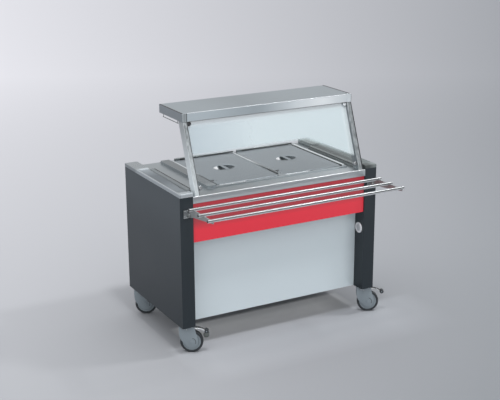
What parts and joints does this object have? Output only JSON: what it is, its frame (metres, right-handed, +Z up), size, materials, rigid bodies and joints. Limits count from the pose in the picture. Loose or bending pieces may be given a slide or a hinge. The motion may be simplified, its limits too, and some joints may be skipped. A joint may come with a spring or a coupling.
{
  "type": "heated food trolley",
  "caption": "Heated serving trolley with lidded wells between dark side towers, leaning glass guard with shelf, fold-down tray slide and swivel casters.",
  "frame": {"origin": "on the floor, under the middle of the cabinet between the two towers", "axes": "+X along the length to the right seen from the customer's side, +Y towards the operator, +Z up"},
  "size_m": [1.2984, 1.0189, 1.284],
  "materials": {
    "tower_paint": "anthracite powder coat, fine texture",
    "stainless": "brushed stainless steel",
    "pressed_stainless": "pressed stainless steel",
    "red_fascia": "satin red laminate on sheet metal",
    "silver_panel": "satin silver panel",
    "inner_sheet": "stainless sheet",
    "polished_tube": "polished stainless tube",
    "clear_glass": "clear toughened glass",
    "clamp_metal": "turned metal clamp",
    "lamp_case": "folded aluminium",
    "lamp_glass": "quartz tube",
    "heater_sheath": "heater sheath",
    "mineral_wool": "mineral wool board",
    "black_plastic": "moulded plastic",
    "lamp_lens": "amber lens",
    "drain_metal": "plated brass",
    "lever_plastic": "red lever",
    "cup_plastic": "light grey moulded plastic",
    "tyre_rubber": "grey-black rubber",
    "caster_grey": "light grey moulded plastic",
    "brake_metal": "zinc-plated pedal",
    "zinc_steel": "zinc-plated steel"
  },
  "bodies": {
    "cabinet": {"base_shelf": "inner_sheet", "cable_gland": "black_plastic", "caster_bolts": "zinc_steel", "caster_plates": "zinc_steel", "control_panel": "inner_sheet", "control_units": "black_plastic", "deck_frame": "stainless", "drain_pipes": "drain_metal", "drain_valve": "drain_metal", "end_cap_left": "stainless", "end_cap_right": "stainless", "front_fascia": "red_fascia", "front_panel": "silver_panel", "glass_clamps": "clamp_metal", "guard_glass": "clear_glass", "guard_posts": "polished_tube", "guard_shelf": "stainless", "heaters": "heater_sheath", "insulation_board": "mineral_wool", "lamp_housing": "lamp_case", "lamp_tube": "lamp_glass", "pilot_lamps": "lamp_lens", "plug_park_cup": "cup_plastic", "side_tower_left": "tower_paint", "side_tower_right": "tower_paint", "tray_brackets": "polished_tube", "underbody_floor": "inner_sheet", "well_left": "pressed_stainless", "well_right": "pressed_stainless", "worktop": "stainless"},
    "swivel_front_left": {"caster_fork_front_left": "caster_grey", "caster_axle_front_left": "zinc_steel"},
    "wheel_front_left": {"caster_hub_front_left": "caster_grey", "caster_tyre_front_left": "tyre_rubber"},
    "swivel_front_right": {"caster_fork_front_right": "caster_grey", "caster_axle_front_right": "zinc_steel"},
    "wheel_front_right": {"caster_hub_front_right": "caster_grey", "caster_tyre_front_right": "tyre_rubber"},
    "swivel_rear_left": {"caster_fork_rear_left": "caster_grey", "caster_axle_rear_left": "zinc_steel"},
    "wheel_rear_left": {"caster_hub_rear_left": "caster_grey", "caster_tyre_rear_left": "tyre_rubber"},
    "swivel_rear_right": {"caster_fork_rear_right": "caster_grey", "caster_axle_rear_right": "zinc_steel"},
    "wheel_rear_right": {"caster_hub_rear_right": "caster_grey", "caster_tyre_rear_right": "tyre_rubber"},
    "pedal_front_left": {"brake_pedal_front_left": "brake_metal"},
    "pedal_front_right": {"brake_pedal_front_right": "brake_metal"},
    "tray_slide": {"tray_arms": "polished_tube", "tray_rails": "polished_tube"},
    "knob_left": {"thermostat_knob_left": "black_plastic"},
    "pan_body_left": {"pan_left": "pressed_stainless"},
    "lid_body_left": {"lid_left": "stainless", "lid_handle_left": "polished_tube"},
    "knob_right": {"thermostat_knob_right": "black_plastic"},
    "pan_body_right": {"pan_right": "pressed_stainless"},
    "lid_body_right": {"lid_right": "stainless", "lid_handle_right": "polished_tube"},
    "rocker": {"switch_rocker": "black_plastic"},
    "valve_lever": {"drain_lever": "lever_plastic"}
  },
  "joints": [
    {"name": "swivel_front_left", "type": "hinge", "parent": "cabinet", "child": "swivel_front_left", "pos_m": [-0.5725, -0.303, 0.145], "axis": [0, 0, 1], "continuous": true},
    {"name": "roll_front_left", "type": "hinge", "parent": "swivel_front_left", "child": "wheel_front_left", "pos_m": [-0.54101, -0.32045, 0.0625], "axis": [0.4848, 0.8746, 0], "continuous": true},
    {"name": "swivel_front_right", "type": "hinge", "parent": "cabinet", "child": "swivel_front_right", "pos_m": [0.5725, -0.303, 0.145], "axis": [0, 0, 1], "continuous": true},
    {"name": "roll_front_right", "type": "hinge", "parent": "swivel_front_right", "child": "wheel_front_right", "pos_m": [0.60399, -0.32045, 0.0625], "axis": [0.4848, 0.8746, 0], "continuous": true},
    {"name": "swivel_rear_left", "type": "hinge", "parent": "cabinet", "child": "swivel_rear_left", "pos_m": [-0.5725, 0.303, 0.145], "axis": [0, 0, 1], "continuous": true},
    {"name": "roll_rear_left", "type": "hinge", "parent": "swivel_rear_left", "child": "wheel_rear_left", "pos_m": [-0.54101, 0.28555, 0.0625], "axis": [0.4848, 0.8746, 0], "continuous": true},
    {"name": "swivel_rear_right", "type": "hinge", "parent": "cabinet", "child": "swivel_rear_right", "pos_m": [0.5725, 0.303, 0.145], "axis": [0, 0, 1], "continuous": true},
    {"name": "roll_rear_right", "type": "hinge", "parent": "swivel_rear_right", "child": "wheel_rear_right", "pos_m": [0.60399, 0.28555, 0.0625], "axis": [0.4848, 0.8746, 0], "continuous": true},
    {"name": "brake_front_left", "type": "hinge", "parent": "swivel_front_left", "child": "pedal_front_left", "pos_m": [-0.56375, -0.30785, 0.135], "axis": [0.4848, 0.8746, 0], "range_deg": [0, 6.5]},
    {"name": "brake_front_right", "type": "hinge", "parent": "swivel_front_right", "child": "pedal_front_right", "pos_m": [0.58125, -0.30785, 0.135], "axis": [0.4848, 0.8746, 0], "range_deg": [0, 6.5]},
    {"name": "tray_fold", "type": "hinge", "parent": "cabinet", "child": "tray_slide", "pos_m": [0, -0.39, 0.792], "axis": [1, 0, 0], "range_deg": [0, 90]},
    {"name": "knob_turn_left", "type": "hinge", "parent": "cabinet", "child": "knob_left", "pos_m": [-0.485, 0.33, 0.74], "axis": [0, 1, 0], "range_deg": [0, 270]},
    {"name": "knob_turn_right", "type": "hinge", "parent": "cabinet", "child": "knob_right", "pos_m": [-0.405, 0.33, 0.74], "axis": [0, 1, 0], "range_deg": [0, 270]},
    {"name": "switch_rock", "type": "hinge", "parent": "cabinet", "child": "rocker", "pos_m": [-0.325, 0.327, 0.74], "axis": [1, 0, 0], "range_deg": [-8, 8]},
    {"name": "drain_turn", "type": "hinge", "parent": "cabinet", "child": "valve_lever", "pos_m": [0.062, 0.344, 0.596], "axis": [0, 1, 0], "range_deg": [0, 90]},
    {"name": "pan_lift_left", "type": "slide", "parent": "cabinet", "child": "pan_body_left", "axis": [0, 0, 1], "range_m": [0, 0.12]},
    {"name": "lid_lift_left", "type": "slide", "parent": "pan_body_left", "child": "lid_body_left", "axis": [0, 0, 1], "range_m": [0, 0.08]},
    {"name": "pan_lift_right", "type": "slide", "parent": "cabinet", "child": "pan_body_right", "axis": [0, 0, 1], "range_m": [0, 0.12]},
    {"name": "lid_lift_right", "type": "slide", "parent": "pan_body_right", "child": "lid_body_right", "axis": [0, 0, 1], "range_m": [0, 0.08]}
  ]
}
